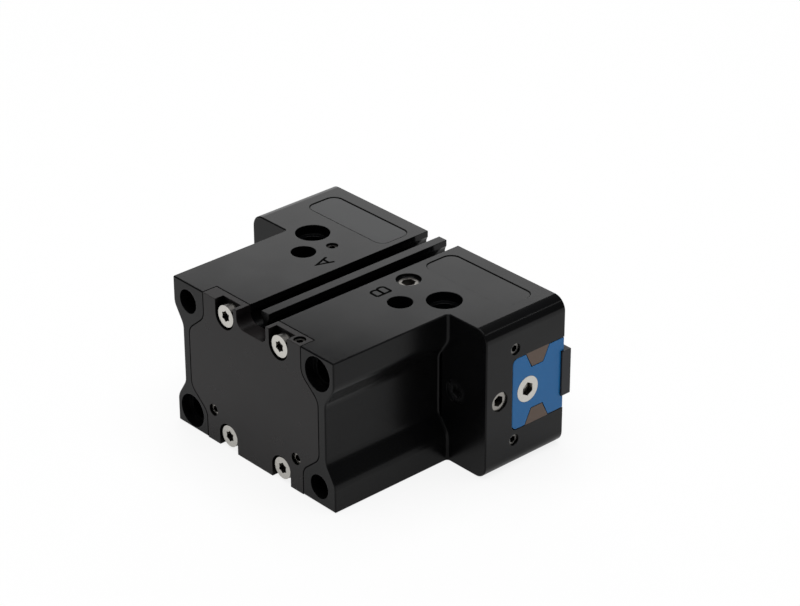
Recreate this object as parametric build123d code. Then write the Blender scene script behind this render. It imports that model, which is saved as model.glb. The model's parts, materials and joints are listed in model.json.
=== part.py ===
"""Two-jaw parallel pneumatic gripper with an oval piston and a wedge drive.

It lies on one of its large faces, with the jaws closed. The origin is the middle of the
mounting face. +Y points from there to the jaws, +X is the way the right jaw opens, and
+Z is up, towards the large face with the air ports. Millimetres.
"""
import os

from build123d import *

# Clearances: parts that seat, parts that slide, soft parts in their grooves
seat_gap = 0.05
slide_gap = 0.15
piston_gap = 0.1
soft_gap = 0.05

# Oval cylinder bore and the wall between it and the drive pocket
bore_width = 32.0
bore_height = 19.0
partition = 7.2
pocket_step = 0.1

# End cover, its seam and its spigot
cover_thickness = 3.5
cover_seat = 3.1
cover_wide_height = 12.8
cover_mouth = 20.8
cover_blend = 3.0
cover_seam = 0.14
cover_edge_break = 0.2
spigot_length = 1.8
cover_seal_depth = 1.1
cover_seal_width = 1.2
cable_notch_depth = 3.6
cable_notch_wall = 3.6
cable_notch_large_share = 0.465
cable_notch_small_share = 0.3

# Sensor slots in the upper large face
slot_offset = 2.7
slot_mouth = 3.3
slot_bore = 4.2
slot_depth = 4.7
slot_wall = 1.8

# Housing around the bore, and its wider head
side_wall = 4.4
corner_land = 9.1
wing_width = 10.5
head_length = 20.5
head_edge_radius = 2.75
inner_corner_radius = 0.6
body_edge_break = 0.2

# Waist in the side walls of the body
waist_depth = 2.5
waist_height = 12.6
waist_mouth = 20.6
waist_blend = 3.0

# Shallow label fields on the upper face of the head
label_start = 5.8
label_end_inset = 5.0
label_width = 8.0
label_inset = 3.0
label_corner_radius = 2.2
label_depth = 0.15

# Piston, its seal, magnets, rod and screw
piston_length = 7.0
piston_start_gap = 0.4
piston_end_gap = 0.5
piston_stroke = 8.0
piston_seal_width = 2.0
piston_seal_depth = 1.6
piston_seal_centre = 4.3
magnet_diameter = 4.0
magnet_length = 2.6
magnet_x = 5.4
magnet_inset = 3.7
rod_diameter = 8.0
rod_gap = 0.05
rod_spigot_diameter = 6.0
rod_spigot_length = 5.0
piston_screw_diameter = 4.0
piston_screw_head = 7.6
piston_screw_length = 12.0

# Rod bush, rod seal and its retaining ring, in the partition
bush_diameter = 10.0
bush_length = 3.5
rod_seal_diameter = 13.0
rod_seal_length = 2.3
rod_seal_lip = 0.9
retaining_ring_diameter = 14.0
retaining_ring_inner = 10.6
retaining_ring_thickness = 0.7
retaining_ring_gap = 4.0

# Wedge drive: the flanks close in by the wedge slope along +Y
jaw_stroke = 6.0
wedge_length = 10.0
wedge_start_gap = 0.4
wedge_half_width = 13.0
wedge_core_height = 8.4
hook_thickness = 3.0
hook_height = 5.8
hook_neck_height = 3.0
lip_thickness = 2.5
hook_gap = 0.1
lock_pin_diameter = 1.5

# Jaw channel and the pocket for the jaw legs
channel_height = 15.6
channel_depth = 13.7
channel_corner_radius = 1.2
pocket_end_gap = 0.3

# Base jaws
jaw_inner_x = 1.5
jaw_leg_length = 3.3
jaw_leg_wall = 2.5
jaw_low_depth = 2.1
jaw_cover_gap = 0.5
jaw_top_gap = 0.1
tongue_height = 9.7
tongue_rise = 1.5
tongue_step = 1.5
tongue_overhang = 0.4
finger_hole_pitch = 10.0
finger_hole_diameter = 3.0
finger_hole_depth = 7.0
finger_sleeve_diameter = 5.0
finger_sleeve_depth = 1.6

# End plates of the jaws
end_plate_thickness = 1.5
end_plate_screw_rise = 4.1
end_plate_screw_diameter = 3.0
end_plate_screw_head = 5.4
end_plate_screw_length = 7.5
tongue_notch_depth = 0.8

# Guide rails
rail_centre_rise = 6.6
rail_base = 6.1
rail_tip = 2.9
rail_rise = 3.2
rail_root_width = 4.0
rail_root_depth = 1.4
rail_root_inset = 6.0

# Centre dust cover between the jaws
dust_cover_half_length = 11.6
dust_cover_margin = 3.0
dust_cover_thickness = 1.7
dust_cover_waist = 11.2
dust_cover_ear = 2.8
dust_screw_inset_x = 3.0
dust_screw_inset_z = 2.6
dust_screw_diameter = 2.5
dust_screw_head = 4.4
dust_screw_length = 4.2

# Cover screws and the two jacking screws beside them
cover_screw_inset_x = 6.5
cover_screw_inset_z = 2.8
cover_screw_diameter = 2.5
cover_screw_head = 4.5
cover_screw_head_height = 1.7
cover_screw_length = 7.0
cover_counterbore = 5.4
cover_counterbore_depth = 2.0
jack_screw_inset_x = 2.1
jack_screw_inset_z = 6.95
jack_screw_diameter = 2.5
jack_screw_length = 3.0

# Mounting holes in the mounting face
corner_hole_inset_x = 4.5
corner_hole_inset_z = 3.9
mount_thread = 5.0
mount_thread_depth = 10.0
mount_sleeve = 7.0
mount_sleeve_depth = 2.0

# Mounting holes in the upper large face
side_mount_x = 19.1
side_mount_inset = 3.1
side_mount_floor = 1.0

# Main air ports and their channels
port_inset_x = 1.95
port_inset_y = 3.6
port_thread = 5.0
port_depth = 6.5
channel_bore = 2.0
branch_bore = 1.6
rod_side_channel_z = 3.5
cover_channel_y = 1.6
cover_channel_bore = 1.6
cover_branch_bore = 1.2
cover_channel_inset_z = 4.8
cover_chamber_z = 4.0
cover_plug_diameter = 2.4
cover_plug_length = 2.2
channel_seal_diameter = 3.6
channel_seal_section = 0.6

# Plugged ports to the drive pocket and the guides
grease_plug_x = 8.3
grease_plug_inset = 3.8
grease_plug_recess = 5.0
grease_plug_recess_depth = 0.6
grease_plug_diameter = 4.0
grease_plug_length = 4.0
grease_plug_socket = 2.9
bleed_plug_x = 12.3
bleed_plug_inset = 2.3
bleed_plug_diameter = 2.4
bleed_plug_length = 3.0
end_port_inset = 3.6
end_port_diameter = 4.0
end_plug_length = 4.0
wing_port_inset = 8.4
wing_port_diameter = 5.0
wing_port_depth = 4.6
wing_plug_length = 2.3
guide_plug_rise = 0.7
guide_plug_wall = 2.1
guide_plug_diameter = 2.4
guide_plug_length = 3.0
guide_channel_bore = 1.2
plug_sink = 0.4

# Sockets of the screws and plugs, room past a screw's end, and room past a cut's mouth
socket_share = 0.54
plug_socket_share = 0.6
socket_depth_share = 0.5
cone_socket_share = 0.8
star_share = 0.76
thread_runout = 0.6
overshoot = 1.0
touch = 0.01

# Places worked out from the sizes above
cover_width = bore_width + 2 * cover_seat
body_width = cover_width + 2 * side_wall
cover_neck_width = body_width - 2 * corner_land
head_width = body_width + 2 * wing_width
thickness = bore_height + 2 * (slot_depth + slot_wall)
upper_face = thickness / 2
piston_back = cover_thickness + spigot_length + piston_start_gap
piston_front = piston_back + piston_length
partition_face = piston_front + piston_stroke + piston_end_gap
drive_pocket_floor = partition_face + partition
body_length = drive_pocket_floor + pocket_step
jaw_face = body_length + head_length
end_face = head_width / 2
slot_centre_z = upper_face - slot_depth + slot_bore / 2
bush_back = drive_pocket_floor - bush_length
rod_seal_front = bush_back - soft_gap
rod_seal_back = rod_seal_front - rod_seal_length
ring_front = rod_seal_back - soft_gap
wedge_slope = jaw_stroke / piston_stroke
wedge_back = drive_pocket_floor + wedge_start_gap
wedge_front = wedge_back + wedge_length
channel_wall = channel_height / 2
channel_floor = jaw_face - channel_depth
jaw_height = channel_height - 2 * slide_gap
jaw_bottom = channel_floor + slide_gap
jaw_top = jaw_face - jaw_top_gap
jaw_low_top = jaw_face - jaw_low_depth
jaw_end = end_face - end_plate_thickness
jaw_leg_bottom = channel_floor - jaw_leg_length
jaw_leg_outer = wedge_half_width + jaw_leg_wall
pocket_half_length = jaw_leg_outer + jaw_stroke + pocket_end_gap
jaw_high_start = dust_cover_half_length + jaw_cover_gap
tongue_start = jaw_high_start + tongue_step
tongue_end = end_face + tongue_overhang
tongue_top = jaw_face + tongue_rise
end_plate_screw_y = channel_floor + end_plate_screw_rise
rail_y = channel_floor + rail_centre_rise
dust_cover_height = thickness - 2 * dust_cover_margin
dust_screw_x = dust_cover_half_length - dust_screw_inset_x
dust_screw_z = dust_cover_height / 2 - dust_screw_inset_z
cover_screw_x = cover_neck_width / 2 - cover_screw_inset_x
cover_screw_z = upper_face - cover_screw_inset_z
cable_notch_half_width = cover_screw_x - cable_notch_wall
cable_notch_large_radius = cable_notch_half_width * cable_notch_large_share
cable_notch_small_radius = cable_notch_half_width * cable_notch_small_share
jack_screw_x = cover_neck_width / 2 - jack_screw_inset_x
jack_screw_z = upper_face - jack_screw_inset_z
corner_hole_x = body_width / 2 - corner_hole_inset_x
corner_hole_z = upper_face - corner_hole_inset_z
side_mount_y = body_length + side_mount_inset
side_mount_depth = upper_face - channel_wall - side_mount_floor
port_x = bore_width / 2 - port_inset_x
port_y = body_length - port_inset_y
cover_channel_x = jack_screw_x
cover_channel_z = upper_face - cover_channel_inset_z
magnet_z = bore_height / 2 - magnet_inset
grease_plug_y = body_length + grease_plug_inset
bleed_plug_y = body_length + bleed_plug_inset
end_port_y = body_length + end_port_inset
wing_port_x = end_face - wing_port_inset
guide_plug_y = channel_floor + guide_plug_rise
guide_plug_z = channel_wall + guide_plug_wall
guide_channel_x = end_face - plug_sink - guide_plug_length - guide_channel_bore / 2

forward, backward, left = (0, 1, 0), (0, -1, 0), (-1, 0, 0)
up, down = (0, 0, 1), (0, 0, -1)


def block(x, y, z):
    """A box between the low and high value given for each axis."""
    centre = [(low + high) / 2 for low, high in (x, y, z)]
    size = [high - low for low, high in (x, y, z)]
    return Pos(*centre) * Box(*size)


def rod(start, direction, diameter, length):
    """A round bar, or the drill for a hole, from a start point along a direction."""
    bar = Cylinder(diameter / 2, length, align=(Align.CENTER, Align.CENTER, Align.MIN))
    return Plane(origin=start, z_dir=direction) * bar


def along_x(outline, start, end):
    """A straight solid along X from an outline whose axes are Y and Z."""
    return extrude(Plane.YZ.offset(start) * outline, amount=end - start)


def along_y(outline, start, end):
    """A straight solid along Y from an outline whose axes are X and Z."""
    return extrude(Plane.XZ.offset(-start) * outline, amount=start - end)


def across_middle(outline, height):
    """A solid of the given height about the middle level, from an outline in X and Y."""
    return extrude(Plane.XY * outline, amount=height / 2, both=True)


def both_sides(shape):
    """A shape and its mirror image on the other side of the gripper's middle."""
    return shape + mirror(shape, about=Plane.YZ)


def both_levels(shape):
    """A shape and its mirror image above or below the middle level."""
    return shape + mirror(shape, about=Plane.XY)


def oval(width, height):
    """The cylinder's oval about the gripper's axis."""
    return SlotOverall(width, height)


def flared_outline(edge_width, middle_width, straight, mouth, blend, height):
    """Outline with one width at the large faces that flares to another between them."""
    edge, middle = edge_width / 2, middle_width / 2
    inner, outer, top = straight / 2, mouth / 2, height / 2
    quarter = [(edge, top), (edge, outer), (middle, inner)]
    lower = [(x, -z) for x, z in reversed(quarter)]
    right_side = quarter + lower
    left_side = [(-x, z) for x, z in reversed(right_side)]
    radii = [0, blend, blend, blend, blend, 0] * 2
    path = FilletPolyline(*right_side, *left_side, radius=radii, close=True)
    return make_face(path)


def turned(points):
    """A round solid from half of its section, given as radius and depth along +Z."""
    return revolve(Plane.XZ * make_face(Polyline(*points, close=True)), Axis.Z)


def star_socket(across, depth):
    """Six-pointed socket that opens at the origin and goes down along +Z."""
    tips = RegularPolygon(across / 2, 6)
    valleys = RegularPolygon(across / 2 * star_share, 6, rotation=30)
    corners = [corner for pair in zip(tips.vertices(), valleys.vertices()) for corner in pair]
    corners.sort(key=lambda corner: Vector(corner).get_signed_angle(Vector(1, 0, 0)))
    return extrude(make_face(Polyline(*corners, close=True)), amount=depth)


def hex_socket(across, depth):
    """Hexagon socket that opens at the origin and goes down along +Z."""
    return extrude(RegularPolygon(across / 2, 6), amount=depth)


def cap_screw(head, head_height, shank, length):
    """Low-head screw: the underside of its head is at the origin and +Z goes in."""
    section = [(0, -head_height), (head / 2, -head_height), (head / 2, 0), (shank / 2, 0),
               (shank / 2, length), (0, length)]
    socket = star_socket(head * socket_share, head_height * socket_depth_share)
    return turned(section) - Pos(0, 0, -head_height) * socket


def countersunk_screw(head, shank, length):
    """Flat-head screw: the top of its head is at the origin and +Z goes in."""
    cone = (head - shank) / 2
    section = [(0, 0), (head / 2, 0), (shank / 2, cone), (shank / 2, length), (0, length)]
    return turned(section) - hex_socket(head * socket_share, cone * cone_socket_share)


def countersink(head, shank, length):
    """The hole for a flat-head screw, with the seating gap around it."""
    top, hole = head / 2 + seat_gap, shank / 2 + seat_gap
    section = [(0, 0), (top, 0), (hole, top - hole), (hole, length), (0, length)]
    return turned(section)


def plug(diameter, length, socket):
    """Threaded plug or set screw: its outer end, with the socket, is at the origin."""
    body = rod((0, 0, 0), up, diameter - 2 * seat_gap, length)
    return body - hex_socket(socket, length * socket_depth_share)


def flank_x(y):
    """Distance from the axis to the outside of the wedge's hooks, with the jaws closed."""
    return wedge_half_width - wedge_slope * (y - wedge_back)


def wedge_band(inside, outside, start, end, height):
    """Slanted slab that follows the wedge flank between two distances inside it."""
    corners = [(flank_x(start) - inside, start), (flank_x(start) - outside, start),
               (flank_x(end) - outside, end), (flank_x(end) - inside, end)]
    return across_middle(make_face(Polyline(*corners, close=True)), height)


def rail_outline(gap):
    """Section of the lower guide rail's head, or of its running groove when a gap is given."""
    base, tip, top = rail_base / 2 + gap, rail_tip / 2 + gap, rail_rise + gap - channel_wall
    points = [(rail_y - base, -channel_wall), (rail_y + base, -channel_wall), (rail_y + tip, top),
              (rail_y - tip, top)]
    return make_face(Polyline(*points, close=True))


def rail_groove():
    """The two running grooves that a jaw and its end plate have for the rails."""
    return both_levels(along_x(rail_outline(slide_gap), 0, end_face + overshoot))


def outer_form():
    """Waisted body and wider head, with rounded ends where the jaws come out."""
    body_outline = flared_outline(body_width, body_width - 2 * waist_depth, waist_height,
                                  waist_mouth, waist_blend, thickness)
    body = along_y(body_outline, 0, body_length)
    head_outline = RectangleRounded(head_width, thickness, head_edge_radius)
    head = along_y(head_outline, body_length, jaw_face)
    shell = body + head
    shell = fillet(inner_corner_edges(shell), inner_corner_radius)
    return chamfer(body_edges(shell), body_edge_break)


def body_edges(shell):
    """The edges round the mounting face, and those along the body's four corners."""
    def lies_on_edge(edge):
        middle = edge @ 0.5
        at_side = abs(abs(middle.X) - body_width / 2) < touch
        at_corner = at_side and abs(abs(middle.Z) - upper_face) < touch
        return abs(middle.Y) < touch or at_corner
    return shell.edges().filter_by(lies_on_edge)


def inner_corner_edges(shell):
    """The upright edges where the body's side walls meet the back of the head."""
    def lies_in_corner(edge):
        middle = edge @ 0.5
        inside_width = abs(middle.X) < body_width / 2 + touch
        off_face = abs(middle.Z) < upper_face - touch
        return abs(middle.Y - body_length) < touch and inside_width and off_face
    return shell.edges().filter_by(lies_in_corner)


def cover_outline(gap):
    """Outline of the end cover, drawn in by a gap."""
    return flared_outline(cover_neck_width - 2 * gap, cover_width - 2 * gap, cover_wide_height - 2 * gap,
                          cover_mouth - 2 * gap, cover_blend, thickness)


def cylinder_space():
    """The pocket for the cover, the oval bore and the stepped hole for the rod."""
    pocket = along_y(cover_outline(0), -overshoot, cover_thickness)
    bore = along_y(oval(bore_width, bore_height), cover_thickness, partition_face)
    axis_start = (0, partition_face, 0)
    seal_hole = rod(axis_start, forward, rod_seal_diameter, bush_back - partition_face)
    ring_place = (0, ring_front - retaining_ring_thickness - soft_gap, 0)
    ring_groove = rod(ring_place, forward, retaining_ring_diameter, retaining_ring_thickness + soft_gap)
    bush_hole = rod((0, bush_back, 0), forward, bush_diameter, bush_length)
    return [pocket, bore, seal_hole, ring_groove, bush_hole]


def jaw_space():
    """The channel for the jaws, the pocket for their legs and the grooves for the rails."""
    end = end_face + overshoot
    depth = jaw_face + overshoot - channel_floor
    outline = Pos(channel_floor + depth / 2, 0) * Rectangle(depth, channel_height)
    outline = fillet(outline.vertices().group_by(Axis.X)[0], channel_corner_radius)
    channel = along_x(outline, -end, end)
    pocket = block((-pocket_half_length, pocket_half_length),
                   (drive_pocket_floor, channel_floor + channel_corner_radius),
                   (-channel_wall, channel_wall))
    return [channel, pocket, both_levels(rail_root(seat_gap))]


def rail_root(gap):
    """Tongue on the back of the lower guide rail, or its groove when a gap is given."""
    half_length, half_width = end_face - rail_root_inset + gap, rail_root_width / 2 + gap
    return block((-half_length, half_length), (rail_y - half_width, rail_y + half_width),
                 (-channel_wall - rail_root_depth - gap, -channel_wall))


def dust_cover_outline(gap):
    """Outline of the centre dust cover in X and Z: it clears the sensor slots."""
    wide = Rectangle(2 * (dust_cover_half_length + gap), dust_cover_height + 2 * gap)
    notch = Rectangle(dust_cover_waist - 2 * gap, dust_cover_ear)
    shift = (dust_cover_height - dust_cover_ear) / 2 + gap
    return wide - Pos(0, shift) * notch - Pos(0, -shift) * notch


def sensor_slots():
    """Two round-bottomed slots with narrow lips that run the length of the upper face."""
    start, end = cover_thickness - overshoot, jaw_face + overshoot
    round_part = Pos(slot_offset, slot_centre_z) * Circle(slot_bore / 2)
    mouth_height = upper_face - slot_centre_z + overshoot
    mouth = Pos(slot_offset, slot_centre_z + mouth_height / 2) * Rectangle(slot_mouth, mouth_height)
    return [both_sides(along_y(round_part + mouth, start, end))]


def label_recesses():
    """Shallow rounded fields on the head's upper face, one on each side of the slots."""
    length = end_face - label_end_inset - label_start
    field = RectangleRounded(length, label_width, label_corner_radius)
    centre = (label_start + length / 2, jaw_face - label_inset - label_width / 2, upper_face - label_depth)
    return [both_sides(Pos(*centre) * extrude(field, amount=label_depth + overshoot))]


def cover_screw_places():
    """Where the cover screws sit, as X and Z."""
    return [(x, z) for x in (-cover_screw_x, cover_screw_x) for z in (-cover_screw_z, cover_screw_z)]


def sleeve_hole(start, direction, thread_depth):
    """Threaded hole with a wide mouth for a centring sleeve."""
    mouth = rod(start, direction, mount_sleeve, mount_sleeve_depth)
    return mouth + rod(start, direction, mount_thread, thread_depth)


def mounting_holes():
    """Four in the mounting face, two of them with sleeve mouths, and two in the upper face."""
    high, low = corner_hole_z, -corner_hole_z
    holes = [sleeve_hole((corner_hole_x, 0, high), forward, mount_thread_depth),
             sleeve_hole((-corner_hole_x, 0, low), forward, mount_thread_depth),
             rod((-corner_hole_x, 0, high), forward, mount_thread, mount_thread_depth),
             rod((corner_hole_x, 0, low), forward, mount_thread, mount_thread_depth)]
    top = [sleeve_hole((x, side_mount_y, upper_face), down, side_mount_depth)
           for x in (-side_mount_x, side_mount_x)]
    return holes + top


def air_ports():
    """The two main ports and the channels from them to the two ends of the bore."""
    ports = [rod((x, port_y, upper_face), down, port_thread, port_depth) for x in (-port_x, port_x)]
    drop_length = upper_face - rod_side_channel_z + channel_bore / 2
    drop = rod((-port_x, port_y, upper_face), down, channel_bore, drop_length)
    inlet = rod((-port_x, partition_face, rod_side_channel_z), forward, branch_bore,
                port_y - partition_face)
    run = rod((cover_channel_x, cover_thickness, cover_channel_z), forward, channel_bore,
              port_y - cover_thickness)
    return ports + [drop, inlet, run]


def pocket_ports():
    """Plugged holes that lead into the drive pocket from above, from the ends and behind."""
    grease = (grease_plug_x, grease_plug_y, upper_face)
    bleed = (-bleed_plug_x, bleed_plug_y, upper_face)
    plug_end = grease_plug_recess_depth + plug_sink + grease_plug_length
    to_roof = upper_face - channel_wall
    from_above = [rod(grease, down, grease_plug_recess, grease_plug_recess_depth),
                  rod(grease, down, grease_plug_diameter, plug_end),
                  rod(grease, down, channel_bore, to_roof),
                  rod(bleed, down, bleed_plug_diameter, bleed_plug_length + plug_sink),
                  rod(bleed, down, guide_channel_bore, to_roof)]
    end_hole = rod((end_face, end_port_y, 0), left, end_port_diameter, end_plug_length + plug_sink)
    passage = rod((end_face, end_port_y, 0), left, channel_bore, end_face - pocket_half_length)
    wing = rod((wing_port_x, body_length, 0), forward, wing_port_diameter, wing_port_depth)
    return from_above + [both_sides(end_hole + passage + wing)]


def guide_ports():
    """Plugged holes in the end faces that carry grease to the guide channel."""
    start = (end_face, guide_plug_y, -guide_plug_z)
    seat = rod(start, left, guide_plug_diameter, plug_sink + guide_plug_length + guide_channel_bore)
    outlet = rod((guide_channel_x, guide_plug_y, -guide_plug_z), up, guide_channel_bore,
                 guide_plug_z - channel_wall + channel_corner_radius)
    return [both_sides(both_levels(seat + outlet))]


def fixing_holes():
    """Threads in the housing for the cover screws and the dust cover screws."""
    cover_hole_end = cover_counterbore_depth + cover_screw_length + thread_runout
    cover = [rod((x, cover_thickness, z), forward, cover_screw_diameter + 2 * seat_gap,
                 cover_hole_end - cover_thickness) for x, z in cover_screw_places()]
    recess_floor = jaw_face - dust_cover_thickness - seat_gap
    recess = along_y(dust_cover_outline(slide_gap), recess_floor, jaw_face + overshoot)
    dust = [rod((x, jaw_face, z), backward, dust_screw_diameter + 2 * seat_gap,
                dust_screw_length + thread_runout) for x, z in dust_screw_places()]
    return cover + [recess] + dust


def dust_screw_places():
    """Where the dust cover screws sit, as X and Z: in two opposite corners."""
    return [(dust_screw_x, dust_screw_z), (-dust_screw_x, -dust_screw_z)]


def housing():
    """The aluminium housing: cylinder, jaw guide and ports in one milled piece."""
    cuts = (cylinder_space() + jaw_space() + sensor_slots() + label_recesses() + mounting_holes()
            + air_ports() + pocket_ports() + guide_ports() + fixing_holes())
    return outer_form() - cuts


def cover_counterbores():
    """Screw holes in the cover: their mouths break out through the large faces."""
    cuts = []
    for x, z in cover_screw_places():
        outward = 1 if z > 0 else -1
        edge = outward * (upper_face + overshoot)
        cuts.append(rod((x, 0, z), forward, cover_counterbore, cover_counterbore_depth))
        cuts.append(block((x - cover_counterbore / 2, x + cover_counterbore / 2),
                          (0, cover_counterbore_depth), sorted((z, edge))))
        cuts.append(rod((x, 0, z), forward, cover_screw_diameter + 2 * seat_gap, cover_thickness))
    return cuts


def cover_air_channel():
    """Channel inside the cover that turns the air from the housing into the bore."""
    top = (cover_channel_x, cover_channel_y, upper_face)
    drop = rod(top, down, cover_channel_bore, upper_face - cover_chamber_z + cover_channel_bore / 2)
    plug_hole = rod(top, down, cover_plug_diameter, cover_plug_length + plug_sink)
    inlet = rod((cover_channel_x, cover_channel_y, cover_channel_z), forward, cover_branch_bore,
                cover_thickness - cover_channel_y)
    outlet_length = cover_thickness + spigot_length - cover_channel_y
    outlet = rod((cover_channel_x, cover_channel_y, cover_chamber_z), forward, cover_branch_bore,
                 outlet_length)
    return [drop, plug_hole, inlet, outlet]


def cable_notch():
    """Notch in the cover's upper edge for the sensor leads, with one corner rounder."""
    outline = Rectangle(2 * cable_notch_half_width, 2 * cable_notch_depth)
    left_corner, right_corner = outline.vertices().group_by(Axis.Y)[0].sort_by(Axis.X)
    outline = fillet(left_corner, cable_notch_large_radius)
    right_corner = outline.vertices().sort_by_distance(right_corner)[0]
    outline = fillet(right_corner, cable_notch_small_radius)
    return along_y(Pos(0, upper_face) * outline, 0, cover_thickness)


def seal_ring(width, height, section, start, end):
    """Oval ring with a flat section, of the given outer width and height."""
    outer = oval(width, height)
    inner = oval(width - 2 * section, height - 2 * section)
    return along_y(outer - inner, start, end)


def end_cover():
    """Cover that closes the cylinder, with a spigot that fits the oval bore."""
    plate = along_y(cover_outline(cover_seam), 0, cover_thickness)
    back_edges = plate.edges().group_by(Axis.Y)[-1].filter_by(Axis.X)
    plate = chamfer(back_edges, cover_edge_break)
    spigot_end = cover_thickness + spigot_length
    spigot = along_y(oval(bore_width - 2 * seat_gap, bore_height - 2 * seat_gap), cover_thickness, spigot_end)
    groove = seal_ring(bore_width, bore_height, cover_seal_depth, cover_thickness,
                       cover_thickness + cover_seal_width)
    jack = rod((jack_screw_x, 0, -jack_screw_z), forward, jack_screw_diameter, cover_thickness)
    ring_seat = rod((cover_channel_x, cover_thickness, cover_channel_z), backward,
                    channel_seal_diameter + 2 * soft_gap, channel_seal_section + soft_gap)
    cuts = [groove, both_sides(jack), ring_seat, cable_notch()]
    return plate + spigot - cuts - cover_counterbores() - cover_air_channel()


def cover_seal():
    """Oval seal in the groove of the cover's spigot."""
    return seal_ring(bore_width - 2 * soft_gap, bore_height - 2 * soft_gap,
                     cover_seal_depth - 2 * soft_gap,
                     cover_thickness + soft_gap, cover_thickness + cover_seal_width - soft_gap)


def channel_seal():
    """Small ring that seals the air channel between the cover and the housing."""
    start = (cover_channel_x, cover_thickness - channel_seal_section, cover_channel_z)
    length = channel_seal_section - soft_gap
    ring = rod(start, forward, channel_seal_diameter, length)
    return ring - rod(start, forward, channel_seal_diameter - 2 * channel_seal_section, length)


def cover_screws():
    """Four low-head screws that hold the cover."""
    screw = cap_screw(cover_screw_head, cover_screw_head_height, cover_screw_diameter, cover_screw_length)
    return Part() + [Plane(origin=(x, cover_counterbore_depth, z), z_dir=forward) * screw
                     for x, z in cover_screw_places()]


def cover_jack_screws():
    """Two set screws that bear on the housing and push the cover off when turned in."""
    screw = plug(jack_screw_diameter, jack_screw_length, jack_screw_diameter * plug_socket_share)
    place = (jack_screw_x, cover_thickness - jack_screw_length, -jack_screw_z)
    return both_sides(Plane(origin=place, z_dir=forward) * screw)


def cover_channel_plug():
    """Plug in the upper end of the cover's air channel."""
    place = (cover_channel_x, cover_channel_y, upper_face - plug_sink)
    small = plug(cover_plug_diameter, cover_plug_length, cover_plug_diameter * plug_socket_share)
    return Plane(origin=place, z_dir=down) * small


def piston_outline(inset):
    """The piston's oval, drawn in from its running size."""
    reduction = 2 * (piston_gap + inset)
    return oval(bore_width - reduction, bore_height - reduction)


def magnets(gap):
    """The two magnets in the back of the piston, or their pockets when a gap is given."""
    place = (magnet_x, piston_back, magnet_z)
    return both_sides(rod(place, forward, magnet_diameter + 2 * gap, magnet_length + gap))


def piston():
    """Oval piston with a seal groove, magnet pockets and a countersunk screw hole."""
    body = along_y(piston_outline(0), piston_back, piston_front)
    centre = piston_back + piston_seal_centre
    start, end = centre - piston_seal_width / 2, centre + piston_seal_width / 2
    groove = along_y(piston_outline(0) - piston_outline(piston_seal_depth), start, end)
    hole = countersink(piston_screw_head, piston_screw_diameter, piston_length)
    screw_hole = Plane(origin=(0, piston_back, 0), z_dir=forward) * hole
    return body - [groove, screw_hole, magnets(seat_gap)]


def piston_seal():
    """Oval seal in the piston's groove."""
    centre = piston_back + piston_seal_centre
    half = piston_seal_width / 2 - soft_gap
    inner = piston_outline(piston_seal_depth - soft_gap)
    return along_y(piston_outline(0) - inner, centre - half, centre + half)


def piston_magnets():
    """Two disc magnets that the sensors in the slots detect."""
    return magnets(0)


def piston_rod():
    """Rod from the piston to the wedge, tapped for the piston screw, with a threaded spigot."""
    shank = rod((0, piston_front, 0), forward, rod_diameter, wedge_back - piston_front)
    spigot = rod((0, wedge_back, 0), forward, rod_spigot_diameter, rod_spigot_length)
    tapped = rod((0, piston_front, 0), forward, piston_screw_diameter + 2 * seat_gap,
                 piston_screw_length - piston_length + thread_runout)
    return shank + spigot - [tapped, lock_pin_hole()]


def piston_screw():
    """Flat-head screw that clamps the piston to its rod."""
    screw = countersunk_screw(piston_screw_head, piston_screw_diameter, piston_screw_length)
    return Plane(origin=(0, piston_back, 0), z_dir=forward) * screw


def lock_pin_y():
    """The lock pin crosses the middle of the rod's threaded spigot."""
    return wedge_back + rod_spigot_length / 2


def lock_pin_hole():
    """Cross hole for the pin through the wedge and the rod's spigot."""
    return rod((0, lock_pin_y(), -wedge_core_height / 2), up,
               lock_pin_diameter + 2 * seat_gap, wedge_core_height)


def driver_lock_pin():
    """Pin that keeps the wedge from turning off the rod."""
    return rod((0, lock_pin_y(), -wedge_core_height / 2), up, lock_pin_diameter, wedge_core_height)


def wedge_driver():
    """Wedge with a T-shaped hook along each slanted flank, which pulls and pushes the jaws."""
    core_half = wedge_half_width - hook_thickness - lip_thickness - 2 * hook_gap
    tip = wedge_back + core_half / wedge_slope
    core = Polyline((-core_half, wedge_back), (core_half, wedge_back), (0, tip), close=True)
    core_solid = across_middle(make_face(core), wedge_core_height)
    reach = wedge_half_width
    kept = block((-reach, reach), (wedge_back, wedge_front), (-upper_face, upper_face))
    neck_corners = [(-flank_x(wedge_back) + hook_thickness, wedge_back),
                    (flank_x(wedge_back) - hook_thickness, wedge_back),
                    (flank_x(wedge_front) - hook_thickness, wedge_front),
                    (-flank_x(wedge_front) + hook_thickness, wedge_front)]
    neck = across_middle(make_face(Polyline(*neck_corners, close=True)), hook_neck_height)
    hooks = both_sides(wedge_band(hook_thickness, 0, wedge_back, wedge_front, hook_height))
    hole = rod((0, wedge_back, 0), forward, rod_spigot_diameter + 2 * seat_gap,
               rod_spigot_length + seat_gap)
    return (core_solid & kept) + neck + hooks - [hole, lock_pin_hole()]


def rod_bush():
    """Plain bush that guides the rod."""
    bush = rod((0, bush_back, 0), forward, bush_diameter, bush_length)
    return bush - rod((0, bush_back, 0), forward, rod_diameter + 2 * rod_gap, bush_length)


def rod_seal():
    """Rod seal: a ring with a V-shaped lip towards the pressure."""
    outer, inner = rod_seal_diameter / 2 - soft_gap, rod_diameter / 2 + rod_gap
    section = [(inner, 0), (outer, rod_seal_lip), (outer, rod_seal_length), (inner, rod_seal_length)]
    return Plane(origin=(0, rod_seal_back, 0), z_dir=forward) * turned(section)


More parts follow.
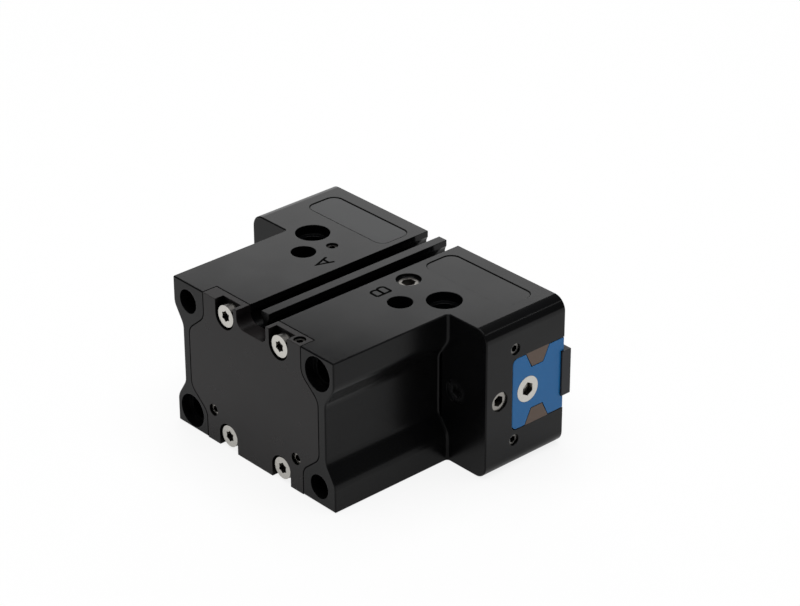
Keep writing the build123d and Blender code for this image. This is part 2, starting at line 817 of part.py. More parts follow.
def seal_retaining_ring():
    """Split ring in its groove, which holds the rod seal in place."""
    start = (0, ring_front - retaining_ring_thickness, 0)
    ring = rod(start, forward, retaining_ring_diameter - 2 * seat_gap, retaining_ring_thickness)
    ring -= rod(start, forward, retaining_ring_inner, retaining_ring_thickness)
    split = block((-retaining_ring_gap / 2, retaining_ring_gap / 2), (0, jaw_face), (-upper_face, 0))
    return ring - split


def guide_rail(level):
    """Hardened rail on one wall of the jaw channel: +1 is the upper wall, -1 the lower."""
    lower = along_x(rail_outline(0), -end_face, end_face) + rail_root(0)
    return mirror(lower, about=Plane.XY) if level > 0 else lower


def centre_dust_cover():
    """Plate that covers the wedge drive between the jaws."""
    top = jaw_face - seat_gap
    plate = along_y(dust_cover_outline(0), top - dust_cover_thickness, top)
    sinks = [Plane(origin=(x, top, z), z_dir=backward)
             * countersink(dust_screw_head, dust_screw_diameter, dust_cover_thickness)
             for x, z in dust_screw_places()]
    return plate - sinks


def dust_cover_screws():
    """Two flat-head screws that hold the dust cover."""
    screw = countersunk_screw(dust_screw_head, dust_screw_diameter, dust_screw_length)
    return Part() + [Plane(origin=(x, jaw_face - seat_gap, z), z_dir=backward) * screw
                     for x, z in dust_screw_places()]


def jaw_section(top):
    """Cross-section of a jaw in Y and Z up to a given top, with its lower corners rounded."""
    outline = Pos((jaw_bottom + top) / 2, 0) * Rectangle(top - jaw_bottom, jaw_height)
    return fillet(outline.vertices().group_by(Axis.X)[0], channel_corner_radius)


def finger_hole_places():
    """Where the finger screws go, spread about the middle of the tongue."""
    middle = (tongue_start + tongue_end) / 2
    return [middle - finger_hole_pitch / 2, middle + finger_hole_pitch / 2]


def right_base_jaw():
    """Jaw with rail grooves, a slanted T-slot for the wedge hook and a tongue for fingers."""
    low = along_x(jaw_section(jaw_low_top), jaw_inner_x, jaw_end)
    high = along_x(jaw_section(jaw_top), jaw_high_start, jaw_end)
    leg = block((jaw_inner_x, jaw_leg_outer), (jaw_leg_bottom, jaw_bottom + channel_corner_radius),
                (-jaw_height / 2, jaw_height / 2))
    across = (-tongue_height / 2, tongue_height / 2)
    tongue = block((tongue_start, tongue_end), (jaw_top, tongue_top), across)
    over_plate = block((jaw_end, tongue_end), (jaw_face - tongue_notch_depth, jaw_top), across)
    return low + high + leg + tongue + over_plate - hook_slots() - rail_groove() - jaw_holes()


def hook_slots():
    """Room in the jaw for the wedge: its core, the neck of its hook and the hook itself."""
    lip_face = hook_thickness + hook_gap + lip_thickness
    far, start, end = wedge_half_width + lip_face, jaw_leg_bottom - overshoot, tongue_top
    clear = wedge_band(far, lip_face, start, end, thickness)
    neck_slot = wedge_band(far, hook_thickness, start, end, hook_neck_height + 2 * hook_gap)
    hook_slot = wedge_band(hook_thickness + hook_gap, -hook_gap, start, end, hook_height + 2 * hook_gap)
    return [clear, neck_slot, hook_slot]


def jaw_holes():
    """The finger holes with their sleeve mouths, and the thread for the end plate's screw."""
    holes = []
    for x in finger_hole_places():
        holes.append(rod((x, tongue_top, 0), backward, finger_sleeve_diameter, finger_sleeve_depth))
        holes.append(rod((x, tongue_top, 0), backward, finger_hole_diameter, finger_hole_depth))
    holes.append(rod((jaw_end, end_plate_screw_y, 0), left, end_plate_screw_diameter + 2 * seat_gap,
                     end_plate_screw_length - end_plate_thickness + thread_runout))
    return holes


def right_end_plate():
    """Coloured plate that closes the jaw's outer end and wipes the rails."""
    plate = along_x(jaw_section(jaw_top), jaw_end, end_face)
    half = tongue_height / 2 + seat_gap
    notch = block((jaw_end, end_face + overshoot), (jaw_face - tongue_notch_depth - seat_gap, jaw_face),
                  (-half, half))
    sink = countersink(end_plate_screw_head, end_plate_screw_diameter, end_plate_thickness)
    hole = Plane(origin=(end_face, end_plate_screw_y, 0), z_dir=left) * sink
    return plate - [notch, hole, rail_groove()]


def right_end_plate_screw():
    """Flat-head screw that fixes the end plate to the jaw."""
    screw = countersunk_screw(end_plate_screw_head, end_plate_screw_diameter, end_plate_screw_length)
    return Plane(origin=(end_face, end_plate_screw_y, 0), z_dir=left) * screw


def grease_plug():
    """Plug in its recess on the upper face, over the drive pocket."""
    place = (grease_plug_x, grease_plug_y, upper_face - grease_plug_recess_depth)
    return Plane(origin=place, z_dir=down) * plug(grease_plug_diameter, grease_plug_length, grease_plug_socket)


def bleed_plug():
    """Small plug on the upper face, over the drive pocket."""
    place = (-bleed_plug_x, bleed_plug_y, upper_face - plug_sink)
    small = plug(bleed_plug_diameter, bleed_plug_length, bleed_plug_diameter * plug_socket_share)
    return Plane(origin=place, z_dir=down) * small


def end_port_plugs():
    """A plug in each end face, in the side passage to the drive pocket."""
    place = (end_face - plug_sink, end_port_y, 0)
    side = plug(end_port_diameter, end_plug_length, end_port_diameter * plug_socket_share)
    return both_sides(Plane(origin=place, z_dir=left) * side)


def wing_port_plugs():
    """A plug in the back of each side of the head, in the same passage."""
    place = (wing_port_x, body_length + plug_sink, 0)
    back = plug(wing_port_diameter, wing_plug_length, wing_port_diameter * plug_socket_share)
    return both_sides(Plane(origin=place, z_dir=forward) * back)


def guide_grease_plugs():
    """Two small plugs in each end face, beside the end plate."""
    place = (end_face - plug_sink, guide_plug_y, -guide_plug_z)
    small = plug(guide_plug_diameter, guide_plug_length, guide_plug_diameter * plug_socket_share)
    return both_sides(both_levels(Plane(origin=place, z_dir=left) * small))


def left_of(shape):
    """The left-hand twin of a right-hand piece."""
    return mirror(shape, about=Plane.YZ)


def all_pieces():
    """Every piece of the gripper by name."""
    jaw, plate, screw = right_base_jaw(), right_end_plate(), right_end_plate_screw()
    return {
        "housing": housing(),
        "end_cover": end_cover(),
        "cover_seal": cover_seal(),
        "channel_seal": channel_seal(),
        "cover_screws": cover_screws(),
        "cover_jack_screws": cover_jack_screws(),
        "cover_channel_plug": cover_channel_plug(),
        "grease_plug": grease_plug(),
        "bleed_plug": bleed_plug(),
        "end_port_plugs": end_port_plugs(),
        "wing_port_plugs": wing_port_plugs(),
        "guide_grease_plugs": guide_grease_plugs(),
        "guide_rail_upper": guide_rail(1),
        "guide_rail_lower": guide_rail(-1),
        "rod_bush": rod_bush(),
        "rod_seal": rod_seal(),
        "seal_retaining_ring": seal_retaining_ring(),
        "centre_dust_cover": centre_dust_cover(),
        "dust_cover_screws": dust_cover_screws(),
        "piston": piston(),
        "piston_seal": piston_seal(),
        "piston_magnets": piston_magnets(),
        "piston_rod": piston_rod(),
        "piston_screw": piston_screw(),
        "wedge_driver": wedge_driver(),
        "driver_lock_pin": driver_lock_pin(),
        "right_base_jaw": jaw,
        "left_base_jaw": left_of(jaw),
        "right_end_plate": plate,
        "left_end_plate": left_of(plate),
        "right_end_plate_screw": screw,
        "left_end_plate_screw": left_of(screw),
    }


def main():
    """Write each piece to its own file."""
    os.makedirs("parts", exist_ok=True)
    for name, shape in all_pieces().items():
        export_step(shape, f"parts/{name}.step")


main()
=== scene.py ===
"""Looks of the two-jaw gripper: finishes, marks, seam lines, floor, light and camera.

Lengths are millimetres times MM, so that every Blender length is in metres. The frame's
origin is the middle of the mounting face, +Y points to the jaws and +Z is up.
"""
import json
import math

import bmesh
import bpy
from mathutils import Matrix, Vector


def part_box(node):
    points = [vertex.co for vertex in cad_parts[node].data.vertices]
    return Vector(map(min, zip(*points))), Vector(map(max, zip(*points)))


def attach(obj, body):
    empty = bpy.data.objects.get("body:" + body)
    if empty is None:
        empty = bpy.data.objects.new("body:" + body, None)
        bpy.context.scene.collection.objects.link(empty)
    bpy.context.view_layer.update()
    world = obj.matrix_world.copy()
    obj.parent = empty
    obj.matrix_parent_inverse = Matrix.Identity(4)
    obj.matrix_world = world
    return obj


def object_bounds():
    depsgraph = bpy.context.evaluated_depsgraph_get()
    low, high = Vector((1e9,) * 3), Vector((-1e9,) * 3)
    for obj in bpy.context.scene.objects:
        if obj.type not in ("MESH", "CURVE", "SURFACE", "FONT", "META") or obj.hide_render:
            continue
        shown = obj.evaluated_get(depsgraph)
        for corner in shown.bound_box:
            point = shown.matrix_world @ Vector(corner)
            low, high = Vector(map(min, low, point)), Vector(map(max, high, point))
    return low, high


MM = 0.001

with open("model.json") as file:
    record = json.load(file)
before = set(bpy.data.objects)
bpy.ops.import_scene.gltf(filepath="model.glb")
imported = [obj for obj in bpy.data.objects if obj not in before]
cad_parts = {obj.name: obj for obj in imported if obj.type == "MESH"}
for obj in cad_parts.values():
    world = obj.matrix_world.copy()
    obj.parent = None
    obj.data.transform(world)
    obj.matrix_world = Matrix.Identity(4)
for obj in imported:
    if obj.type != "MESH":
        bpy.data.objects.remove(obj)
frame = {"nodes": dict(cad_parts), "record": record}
cad_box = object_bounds()

# Camera, from the photograph: direction in degrees, roll, distance and the point looked at
camera_azimuth = 47.91376
camera_elevation = 28.30075
camera_roll = -0.17995
camera_distance = 546.727 * MM
camera_target = Vector((-2.2025, 39.5538, 4.0645)) * MM
camera_clip = (0.01, 10)
focal_pixels = 2768.544
picture_width = 800
sensor_width = 36.0

# Brightness of the surroundings: the even light on the gripper, and what is added to it where
# the camera sees the surroundings and where the black gloss reflects them
world_level = 0.12
world_seen_level = 0.8
world_reflected_level = 0.02

# Floor: how much of its white doesn't depend on the lamps, as the camera sees it and as the
# gripper's faces reflect it, its colour and half width, and how far below the gripper it lies
floor_white_share = 0.85
floor_reflected_share = 0.3
floor_colour = (0.92, 0.92, 0.92)
floor_roughness = 0.9
floor_half_width = 3.0
floor_gap = 0.02

# Lamps: azimuth, elevation and roll in degrees, width and height in metres, and brightness
lamp_distance = 1.0
lamps = {
    "overhead": (0, 90, 0, 1.1, 1.1, 3.4),
    "back_left": (-133, 18.5, -11, 0.74, 0.42, 1.44),
    "back_right_strip": (141, 39.5, 0, 0.25, 0.04, 2.0),
}

# Limits of the shading masks, detail of the noise and samples of the two ray-traced effects
square_limits = (0.85, 0.95)
noise_limits = (0.3, 0.7)
cloud_detail = 4.0
grain_detail = 2.0
recess_samples = 8
bevel_samples = 6

# Finish of the body's walls, which end where the head starts, with painted shade that dims their
# reflection; colour of the sides of screw heads; roughness deep in a hollow of the black parts
walls_end = 28.7
wall_roughness = 0.26
wall_shaded_gloss = 0.72
head_side_colour = (0.1, 0.096, 0.09)
recess_roughness = 0.9

# Smudges on the black gloss, in millimetres
smudge_size = 7.0
smudge_stretch = (1.0, 2.2, 1.0)
smudge_gloss = 0.86

# Set screws that are darker than the others
dark_plugs = ("guide_grease_plugs", "bleed_plug", "cover_channel_plug")

# Marks on the upper face, in millimetres
mark_width = 0.55
mark_height = 0.03
mark_centre_y = 25.0
mark_a_x = -8.15
mark_b_x = 8.25
letter_height = 3.5
letter_width = 2.5
foil_gap = 0.3
foil_thickness = 0.05
label_x = (5.8, 29.0)
label_y = (38.0, 46.0)
label_depth = 0.15
label_radius = 2.2
# Line of painted shade round the foot of each label hollow: width and height
label_shade_width = 0.13
label_shade_height = 0.06

# Steps in a rounded corner of a mark, and the least cosine that a ribbon's mitre is cut to
corner_steps = 8
mitre_limit = 0.4

# Dark line of painted shade in the seam between the end cover and the housing, in millimetres:
# the middle of the seam, from the part's own sizes, and how far the line stays off the broken edges
seam_shade_width = 0.24
seam_proud = 0.01
seam_depth = 0.02
seam_neck_x = 14.33
seam_wide_x = 19.03
seam_inner_z = 6.33
seam_outer_z = 10.33
seam_blend = 3.0
seam_back_y = 3.4
seam_end = 0.2
seam_slot_x = 4.4

# Finishes: darkest and lightest colour, range of roughness, and what differs from the values
# that the function finish starts from
finishes = {
    "housing_anodised": dict(dark=(0.0013, 0.0014, 0.0016), light=(0.0034, 0.0035, 0.0038),
                             roughness=(0.1, 0.15), specular=0.19, cloud=9.0, height=0.0004,
                             edge=0.16, recess_shade_reach=5.0, recess_shade=(0.0005, 0.0005, 0.0005),
                             limits=(0.22, 0.45)),
    "cover_anodised": dict(dark=(0.0098, 0.0084, 0.0086), light=(0.0125, 0.0108, 0.011),
                           roughness=(0.26, 0.34), specular=0.165, height=0.0008, edge=0.16,
                           recess_shade_reach=5.0, recess_shade=(0.001, 0.001, 0.001), limits=(0.75, 0.97)),
    "jaw_steel": dict(dark=(0.012, 0.0125, 0.0155), light=(0.018, 0.0185, 0.0225),
                      roughness=(0.28, 0.38), specular=0.21, stretch=(20, 1, 1), edge=0.1),
    "blue_anodised": dict(dark=(0.006, 0.125, 0.345), light=(0.009, 0.142, 0.383),
                          roughness=(0.28, 0.36), specular=0.22, height=0.001, edge=0.08),
    "rail_steel": dict(dark=(0.085, 0.061, 0.048), light=(0.11, 0.079, 0.063),
                       roughness=(0.26, 0.36), metallic=0.8, stretch=(20, 1, 1), edge=0.06),
    "zinc_screws": dict(dark=(0.48, 0.465, 0.43), light=(0.58, 0.565, 0.53),
                        roughness=(0.24, 0.34), metallic=1.0, grain=0.15, cloud=1.5,
                        height=0.0003, edge=0.03, recess_shade_reach=1.2, recess_shade=(0.05, 0.044, 0.035)),
    "set_screws": dict(dark=(0.22, 0.21, 0.195), light=(0.34, 0.325, 0.30),
                       roughness=(0.26, 0.36), metallic=1.0, grain=0.15, cloud=1.0,
                       height=0.0004, edge=0.04, recess_shade_reach=1.2, recess_shade=(0.03, 0.028, 0.024)),
    "dark_set_screws": dict(dark=(0.1, 0.097, 0.092), light=(0.18, 0.173, 0.163),
                            roughness=(0.26, 0.36), metallic=1.0, grain=0.15, cloud=1.0,
                            height=0.0004, edge=0.06, recess_shade_reach=1.2),
    "black_plugs": dict(dark=(0.006, 0.006, 0.0065), light=(0.011, 0.011, 0.0115),
                        roughness=(0.2, 0.3), specular=0.3, grain=0.15, cloud=1.0, edge=0.1),
    "dark_cover": dict(dark=(0.008, 0.0082, 0.0086), light=(0.012, 0.0122, 0.0126),
                       roughness=(0.26, 0.36), specular=0.25, edge=0.1),
    "bronze": dict(dark=(0.40, 0.25, 0.10), light=(0.50, 0.33, 0.15), roughness=(0.35, 0.5),
                   metallic=1.0, grain=0.2, edge=0.05),
    "hard_steel": dict(dark=(0.38, 0.38, 0.39), light=(0.50, 0.50, 0.51), roughness=(0.2, 0.3),
                       metallic=1.0, grain=0.2, edge=0.05),
    "piston_alloy": dict(dark=(0.55, 0.55, 0.56), light=(0.68, 0.68, 0.69),
                         roughness=(0.28, 0.38), metallic=1.0, grain=0.2, edge=0.06),
    "magnet": dict(dark=(0.42, 0.42, 0.43), light=(0.55, 0.55, 0.56), roughness=(0.16, 0.24),
                   metallic=1.0, grain=0.2, edge=0.05),
    "seal_rubber": dict(dark=(0.014, 0.014, 0.014), light=(0.024, 0.024, 0.024),
                        roughness=(0.55, 0.7), grain=0.1, edge=0.03),
    # engraving: the port letters, and also the dark of the painted shade lines along the seam and
    # round the labels
    "engraving": dict(dark=(0.003, 0.003, 0.003), light=(0.005, 0.005, 0.005),
                      roughness=(0.8, 0.9), specular=0.0, edge=0.01),
    "label_foil": dict(dark=(0.022, 0.023, 0.024), light=(0.026, 0.027, 0.028),
                       roughness=(0.28, 0.34), specular=0.24, cloud=14.0, height=0.0),
}


def direction(azimuth, elevation):
    """Unit vector towards an azimuth, counted from -Y towards +X, and an elevation in degrees."""
    azimuth, elevation = math.radians(azimuth), math.radians(elevation)
    return Vector((math.sin(azimuth) * math.cos(elevation), -math.cos(azimuth) * math.cos(elevation),
                   math.sin(elevation)))


def make_camera():
    """The photograph's viewpoint."""
    roll = math.radians(camera_roll)
    outward = direction(camera_azimuth, camera_elevation)
    level_right = direction(camera_azimuth + 90, 0)
    level_up = outward.cross(level_right)
    right = level_right * math.cos(roll) + level_up * math.sin(roll)
    up = outward.cross(right)
    data = bpy.data.cameras.new("camera")
    data.sensor_width = sensor_width
    data.lens = focal_pixels / picture_width * sensor_width
    data.clip_start, data.clip_end = camera_clip
    camera = bpy.data.objects.new("camera", data)
    bpy.context.collection.objects.link(camera)
    turn = Matrix((right, up, outward)).transposed().to_4x4()
    camera.matrix_world = Matrix.Translation(camera_target + outward * camera_distance) @ turn
    bpy.context.scene.camera = camera


class Nodes:
    """The node tree of a material or a world, with short calls for the nodes used here."""

    def __init__(self, holder, shader):
        holder.use_nodes = True
        self.holder = holder
        self.tree = holder.node_tree
        self.shader = self.tree.nodes[shader]

    def node(self, kind, **settings):
        made = self.tree.nodes.new(kind)
        for key, value in settings.items():
            setattr(made, key, value)
        return made

    def link(self, output, target):
        self.tree.links.new(output, target)

    def place(self, kind):
        """Object-space position or normal, as the texture coordinates give it."""
        return self.node("ShaderNodeTexCoord").outputs[kind]

    def axes(self, vector):
        """The X, Y and Z of a vector."""
        split = self.node("ShaderNodeSeparateXYZ")
        self.link(vector, split.inputs[0])
        return split.outputs

    def math(self, operation, *values):
        """A Math node of sockets and numbers."""
        made = self.node("ShaderNodeMath", operation=operation)
        for target, value in zip(made.inputs, values):
            if isinstance(value, float):
                target.default_value = value
            else:
                self.link(value, target)
        return made.outputs[0]

    def ranged(self, value, limits, target=(0.0, 1.0)):
        """Maps the range between two limits to another range, and keeps inside that."""
        mapped = self.node("ShaderNodeMapRange")
        for name, level in zip(("From Min", "From Max", "To Min", "To Max"), (*limits, *target)):
            mapped.inputs[name].default_value = level
        self.link(value, mapped.inputs["Value"])
        return mapped.outputs["Result"]

    def mix(self, share, low, high):
        """Blends two colours, each three numbers or a socket, by a 0 to 1 value."""
        blend = self.node("ShaderNodeMix", data_type="RGBA")
        self.link(share, blend.inputs["Factor"])
        for name, colour in (("A", low), ("B", high)):
            if isinstance(colour, tuple):
                blend.inputs[name].default_value = (*colour, 1)
            else:
                self.link(colour, blend.inputs[name])
        return blend.outputs["Result"]

    def square_to(self, names):
        """1 on faces square to one or two of the part's axes, 0 on the others."""
        normal = self.axes(self.place("Normal"))
        sizes = [self.math("ABSOLUTE", normal[name]) for name in names]
        return self.ranged(self.math("MAXIMUM", sizes[0], sizes[-1]), square_limits)

    def beyond(self, level):
        """1 past a level along Y, in millimetres, and 0 before it."""
        return self.math("GREATER_THAN", self.axes(self.place("Object"))["Y"], level * MM)

    def noise(self, size, detail, stretch=(1, 1, 1)):
        """Noise whose blobs are about the given size, in millimetres, stretched per axis."""
        mapping = self.node("ShaderNodeMapping")
        mapping.inputs["Scale"].default_value = [1 / (size * MM * share) for share in stretch]
        self.link(self.place("Object"), mapping.inputs["Vector"])
        noise = self.node("ShaderNodeTexNoise")
        noise.inputs["Scale"].default_value = 1.0
        noise.inputs["Detail"].default_value = detail
        self.link(mapping.outputs["Vector"], noise.inputs["Vector"])
        return noise.outputs["Fac"]

    def openness(self, reach, limits):
        """How open the surface is: 0 deep in a socket, 1 on an outer face."""
        shut = self.node("ShaderNodeAmbientOcclusion", samples=recess_samples, only_local=True)
        shut.inputs["Distance"].default_value = reach * MM
        return self.ranged(shut.outputs["AO"], limits)

    def relief(self, value, height, edge):
        """Bump of a height in millimetres over edges that are softened by a radius."""
        bevel = self.node("ShaderNodeBevel", samples=bevel_samples)
        bevel.inputs["Radius"].default_value = edge * MM
        bump = self.node("ShaderNodeBump")
        bump.inputs["Strength"].default_value = 1.0
        bump.inputs["Distance"].default_value = height * MM
        self.link(value, bump.inputs["Height"])
        self.link(bevel.outputs["Normal"], bump.inputs["Normal"])
        self.link(bump.outputs["Normal"], self.shader.inputs["Normal"])


def finish(name, dark, light, roughness, metallic=0.0, specular=0.5, grain=0.4, cloud=6.0,
           height=0.002, edge=0.12, stretch=(1, 1, 1), recess_shade_reach=0.0, recess_shade=(0.012, 0.012, 0.011),
           limits=(0.55, 0.85)):
    """A coated or bare metal: clouded colour, uneven gloss, fine grain and broken edges.

    Sizes are in millimetres. Given the distance that is searched for walls around a surface,
    hollows get painted shade where less than the limits of the sky is open: a darker colour and,
    on non-metals, a dimmed and rougher reflection.
    """
    nodes = Nodes(bpy.data.materials.new(name), "Principled BSDF")
    shader = nodes.shader
    clouds = nodes.noise(cloud, cloud_detail)
    colour = nodes.mix(clouds, dark, light)
    rough = nodes.ranged(clouds, noise_limits, roughness)
    if recess_shade_reach:
        # Painted shade in hollows: a darker colour and, on non-metals, a dimmed reflection
        share = nodes.openness(recess_shade_reach, limits)
        colour = nodes.mix(share, recess_shade, colour)
        if not metallic:
            nodes.link(share, shader.inputs["Specular Tint"])
            shut = nodes.math("MULTIPLY_ADD", share, -recess_roughness, recess_roughness)
            rough = nodes.math("MAXIMUM", rough, shut)
    nodes.link(colour, shader.inputs["Base Color"])
    nodes.link(rough, shader.inputs["Roughness"])
    if height:
        nodes.relief(nodes.noise(grain, grain_detail, stretch), height, edge)
    shader.inputs["Metallic"].default_value = metallic
    shader.inputs["Specular IOR Level"].default_value = specular
    return nodes


def linked(target):
    """The socket that is linked to an input."""
    return target.links[0].from_socket


def dull_and_shade_walls(nodes):
    """Makes the walls of the body rougher than the milled faces, dims their reflection as painted
    shade, and smudges the gloss.
    """
    inputs = nodes.shader.inputs
    bright = nodes.math("MAXIMUM", nodes.square_to("Z"), nodes.beyond(walls_end))
    blend = nodes.node("ShaderNodeMix", data_type="FLOAT")
    nodes.link(bright, blend.inputs["Factor"])
    blend.inputs["A"].default_value = wall_roughness
    nodes.link(linked(inputs["Roughness"]), blend.inputs["B"])
    nodes.link(blend.outputs["Result"], inputs["Roughness"])
    # Painted shade: the walls keep only part of their reflection
    gloss = nodes.math("MULTIPLY_ADD", bright, 1 - wall_shaded_gloss, wall_shaded_gloss)
    gloss = nodes.math("MULTIPLY", gloss, linked(inputs["Specular Tint"]))
    clouds = nodes.noise(smudge_size, cloud_detail, smudge_stretch)
    smudges = nodes.ranged(clouds, noise_limits, (smudge_gloss, 1.0))
    nodes.link(nodes.math("MULTIPLY", gloss, smudges), inputs["Specular Tint"])


def darken_sides(nodes):
    """Makes the sides of screw heads darker than their faces."""
    base = nodes.shader.inputs["Base Color"]
    nodes.link(nodes.mix(nodes.square_to("XY"), head_side_colour, linked(base)), base)


def make_materials():
    """One material for each finish, by name."""
    made = {name: finish(name, **values) for name, values in finishes.items()}
    dull_and_shade_walls(made["housing_anodised"])
    darken_sides(made["zinc_screws"])
    return {name: nodes.holder for name, nodes in made.items()}


def dress_nodes(materials):
    """Gives each CAD node the finish of its slot in the record, and small plugs a darker one."""
    for entry in frame["record"]["subparts"]:
        name = entry["node"]
        kind = "dark_set_screws" if name in dark_plugs else entry["material_slot"]
        shown = frame["nodes"][name]
        shown.data.materials.clear()
        shown.data.materials.append(materials[kind])


def add_piece(name, mesh, material):
    """Makes a bmesh a piece of the scene that moves with the housing."""
    bmesh.ops.recalc_face_normals(mesh, faces=mesh.faces)
    data = bpy.data.meshes.new(name)
    mesh.to_mesh(data)
    data.materials.append(material)
    piece = bpy.data.objects.new(name, data)
    bpy.context.collection.objects.link(piece)
    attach(piece, "housing_body")


def ribbon_edges(points, width, closed):
    """Left and right edge of a flat ribbon along points in a plane, mitred at the corners."""
    count = len(points)
    edges = []
    for i, point in enumerate(points):
        before = points[i - 1] if i or closed else None
        after = points[(i + 1) % count] if i + 1 < count or closed else None
        into = (point - before).normalized() if before is not None else (after - point).normalized()
        out = (after - point).normalized() if after is not None else into
        across = Vector((-(into + out).y, (into + out).x)).normalized()
        reach = width / 2 / max(across.dot(Vector((-into.y, into.x))), mitre_limit)
        edges.append((point + across * reach, point - across * reach))
    return edges


def add_ribbon(mesh, points, width, height, base, closed=False):
    """Adds a flat raised ribbon to a bmesh: points in X and Y, all lengths in millimetres."""
    rings = []
    for a, b in ribbon_edges([p * MM for p in points], width * MM, closed):
        profile = ((a, base), (a, base + height), (b, base + height), (b, base))
        rings.append([mesh.verts.new((p.x, p.y, z * MM)) for p, z in profile])
    onward = rings[1:] + rings[:1] if closed else rings[1:]
    for ring, after in zip(rings, onward):
        for j in range(4):
            mesh.faces.new((ring[j], ring[(j + 1) % 4], after[(j + 1) % 4], after[j]))
    if not closed:
        mesh.faces.new(rings[0][::-1])
        mesh.faces.new(rings[-1])


def arc(centre, radius, start, end):
    """Points of an arc between two angles in degrees."""
    angles = [math.radians(start + (end - start) * i / corner_steps) for i in range(corner_steps + 1)]
    return [centre + Vector((math.cos(a), math.sin(a))) * radius for a in angles]


def letter_a():
    """Strokes of a plain capital A, one unit wide and high, about its middle."""
    foot, bar, reach = 0.5, -0.18, 0.34
    return [[Vector((-foot, -0.5)), Vector((0, 0.5)), Vector((foot, -0.5))],
            [Vector((-reach, bar)), Vector((reach, bar))]]


def letter_b():
    """Strokes of a plain capital B, one unit wide and high, about its middle."""
    radius, spine, upper_x, lower_x = 0.25, -0.5, 0.18, 0.25
    upper = arc(Vector((upper_x, radius)), radius, 90, -90)
    lower = arc(Vector((lower_x, -radius)), radius, 90, -90)
    top, waist, foot = Vector((spine, 0.5)), Vector((spine, 0.0)), Vector((spine, -0.5))
    return [[top] + upper + [waist], [waist] + lower + [foot], [foot, top]]


def add_letter(name, strokes, centre_x, top, material):
    """A letter on the upper face, which reads with the mounting face up."""
    mesh = bmesh.new()
    for points in strokes:
        placed = [Vector((centre_x - p.x * letter_width, mark_centre_y - p.y * letter_height))
                  for p in points]
        add_ribbon(mesh, placed, mark_width, mark_height, top - mark_height / 2)
    add_piece(name, mesh, material)


def label_outline(side, inset):
    """Points of a label recess's outline, moved inwards by an inset in millimetres."""
    low_x, high_x = sorted((side * (label_x[0] + inset), side * (label_x[1] - inset)))
    low_y, high_y = label_y[0] + inset, label_y[1] - inset
    radius = label_radius - inset
    corners = ((high_x - radius, high_y - radius, 0), (low_x + radius, high_y - radius, 90),
               (low_x + radius, low_y + radius, 180), (high_x - radius, low_y + radius, 270))
    points = []
    for x, y, start in corners:
        points += arc(Vector((x, y)), radius, start, start + 90)
    return points


def add_foil(name, side, floor, material):
    """Bare label foil in one of the shallow recesses of the upper face."""
    mesh = bmesh.new()
    corners = [mesh.verts.new((p.x * MM, p.y * MM, floor * MM)) for p in label_outline(side, foil_gap)]
    raised = bmesh.ops.extrude_face_region(mesh, geom=[mesh.faces.new(corners)])["geom"]
    lift = [v for v in raised if isinstance(v, bmesh.types.BMVert)]
    bmesh.ops.translate(mesh, verts=lift, vec=(0, 0, foil_thickness * MM))
    add_piece(name, mesh, material)


def add_label_shade(name, side, floor, material):
    """Dark line of painted shade round the foot of a label's shallow hollow."""
    mesh = bmesh.new()
    add_ribbon(mesh, label_outline(side, label_shade_width / 2), label_shade_width, label_shade_height, floor, True)
    add_piece(name, mesh, material)


def rounded_path(points, radius):
    """An open path with its inner corners rounded by a radius, in millimetres."""
    path = [points[0]]
    for before, corner, after in zip(points, points[1:], points[2:]):
        back, onward = (before - corner).normalized(), (after - corner).normalized()
        half = back.angle(onward) / 2
        centre = corner + (back + onward).normalized() * radius / math.sin(half)
        start = corner + back * radius / math.tan(half) - centre
        end = corner + onward * radius / math.tan(half) - centre
        path += [centre + start.lerp(end, i / corner_steps).normalized() * radius
                 for i in range(corner_steps + 1)]
    return path + [points[-1]]


def add_shade_line(name, points, level, upright, material):
    """A line of painted shade just proud of the upper face, or of the mounting face where it is
    upright.
    """
    mesh = bmesh.new()
    add_ribbon(mesh, points, seam_shade_width, seam_depth + seam_proud, level - seam_depth)
    if upright:
        mesh.transform(Matrix.Rotation(math.radians(90), 4, "X"))
    add_piece(name, mesh, material)


def add_seam_shade(top, material):
    """Painted shade along the seam round the end cover, on the mounting face and on the upper face."""
    end = top - seam_end
    for word, side in (("left", -1), ("right", 1)):
        corners = [(seam_neck_x, end), (seam_neck_x, seam_outer_z), (seam_wide_x, seam_inner_z),
                   (seam_wide_x, -seam_inner_z), (seam_neck_x, -seam_outer_z), (seam_neck_x, -end)]
        front = [Vector((side * x, z)) for x, z in corners]
        add_shade_line(f"seam_shade_front_{word}", rounded_path(front, seam_blend), 0.0, True, material)
        corners = [(seam_neck_x, seam_end), (seam_neck_x, seam_back_y), (seam_slot_x, seam_back_y)]
        over = [Vector((side * x, y)) for x, y in corners]
        add_shade_line(f"seam_shade_top_{word}", over, top, False, material)


def add_marks(letters_and_shade, foil):
    """Port letters, the bare label foil, and lines of painted shade along the cover's seam and round
    the label recesses.
    """
    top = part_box("housing")[1].z / MM
    add_letter("port_letter_a", letter_a(), mark_a_x, top, letters_and_shade)
    add_letter("port_letter_b", letter_b(), mark_b_x, top, letters_and_shade)
    add_foil("label_foil_left", -1, top - label_depth, foil)
    add_seam_shade(top, letters_and_shade)
    add_label_shade("label_shade_left", -1, top - label_depth, letters_and_shade)
    add_label_shade("label_shade_right", 1, top - label_depth, letters_and_shade)


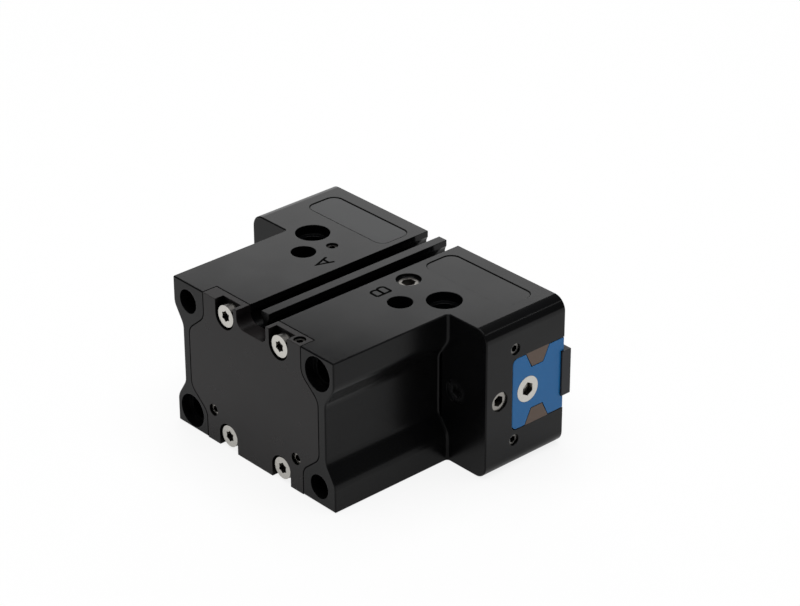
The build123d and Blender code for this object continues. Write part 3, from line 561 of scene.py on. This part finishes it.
def make_floor():
    """Plain pale floor under the gripper, which keeps a faint shadow."""
    low = cad_box[0][2] - floor_gap * MM
    half = floor_half_width
    mesh = bpy.data.meshes.new("floor")
    mesh.from_pydata([(-half, -half, low), (half, -half, low), (half, half, low), (-half, half, low)],
                     [], [(0, 1, 2, 3)])
    floor = bpy.data.objects.new("floor", mesh)
    bpy.context.collection.objects.link(floor)
    nodes = Nodes(bpy.data.materials.new("floor"), "Principled BSDF")
    nodes.shader.inputs["Base Color"].default_value = (*floor_colour, 1)
    nodes.shader.inputs["Roughness"].default_value = floor_roughness
    nodes.shader.inputs["Specular IOR Level"].default_value = 0.0
    rays = nodes.node("ShaderNodeLightPath").outputs
    seen = nodes.math("MAXIMUM", rays["Is Camera Ray"], rays["Is Transmission Ray"])
    direct = nodes.math("MULTIPLY", seen, floor_white_share)
    share = nodes.math("MULTIPLY_ADD", rays["Is Glossy Ray"], floor_reflected_share, direct)
    white = nodes.node("ShaderNodeEmission")
    mix = nodes.node("ShaderNodeMixShader")
    nodes.link(share, mix.inputs[0])
    nodes.link(nodes.shader.outputs[0], mix.inputs[1])
    nodes.link(white.outputs[0], mix.inputs[2])
    nodes.link(mix.outputs[0], nodes.tree.nodes["Material Output"].inputs["Surface"])
    mesh.materials.append(nodes.holder)


def make_world():
    """Even surroundings: dim as light, pale where the camera sees them."""
    world = bpy.data.worlds.new("studio")
    bpy.context.scene.world = world
    nodes = Nodes(world, "Background")
    nodes.shader.inputs["Color"].default_value = (1, 1, 1, 1)
    rays = nodes.node("ShaderNodeLightPath").outputs
    strength = world_level
    for ray, level in (("Is Camera Ray", world_seen_level), ("Is Transmission Ray", world_seen_level),
                       ("Is Glossy Ray", world_reflected_level)):
        strength = nodes.math("MULTIPLY_ADD", rays[ray], level, strength)
    nodes.link(strength, nodes.shader.inputs["Strength"])


def add_lamp(name, azimuth, elevation, roll, width, height, brightness):
    """Rectangular lamp that faces the middle of the gripper, as bright as it looks from there."""
    data = bpy.data.lights.new(name, "AREA")
    data.shape = "RECTANGLE"
    data.size = width
    data.size_y = height
    data.energy = brightness * math.pi * width * height
    lamp = bpy.data.objects.new(name, data)
    outward = direction(azimuth, elevation)
    middle = (Vector(cad_box[0]) + Vector(cad_box[1])) / 2
    lamp.location = middle + outward * lamp_distance
    facing = outward.to_track_quat("Z", "Y").to_matrix()
    lamp.rotation_euler = (facing @ Matrix.Rotation(math.radians(roll), 3, "Z")).to_euler()
    bpy.context.collection.objects.link(lamp)


materials = make_materials()
make_camera()
dress_nodes(materials)
add_marks(materials["engraving"], materials["label_foil"])
make_floor()
make_world()
for lamp_name, values in lamps.items():
    add_lamp(lamp_name, *values)

bpy.context.scene.view_settings.view_transform = "Standard"
